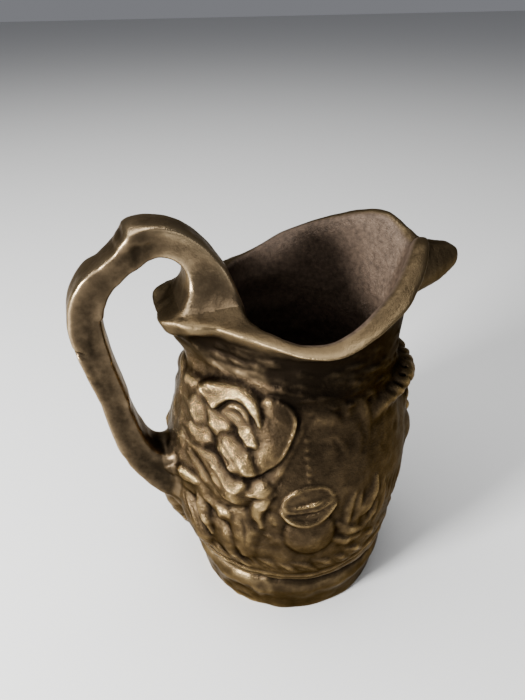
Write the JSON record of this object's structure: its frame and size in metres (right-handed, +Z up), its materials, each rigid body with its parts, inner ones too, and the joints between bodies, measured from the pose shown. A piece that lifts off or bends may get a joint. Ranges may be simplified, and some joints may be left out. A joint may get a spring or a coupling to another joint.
{
  "type": "figural brass jug",
  "caption": "Cast brass face jug: waved hat brim with pouring beak, branch-like handle, curled hair relief and round foot.",
  "frame": {"origin": "centre of the foot's flat underside, which stands on the table", "axes": "+Z up the jug's axis, +X towards the tip of the pouring beak, so the handle is on the -X side"},
  "size_m": [0.137, 0.098, 0.1559],
  "materials": {
    "body_brass": "antique, polished relief over dark brown recesses",
    "brim_brass": "satin lip with a rough sand-cast inside",
    "handle_brass": "hand-rubbed, with dark file marks on its flats",
    "foot_brass": "rubbed moulding with a dark groove",
    "base_brass": "turned underside, tarnished inside",
    "solder": "dull grey-brown solder",
    "braze": "filed smooth and toned"
  },
  "bodies": {
    "root": {"body_shell": "body_brass", "hat_brim": "brim_brass", "handle": "handle_brass", "foot_ring": "foot_brass", "base_plate": "base_brass", "base_solder": "solder", "neck_braze": "braze", "handle_top_braze": "braze", "handle_lower_braze": "braze"}
  },
  "joints": []
}
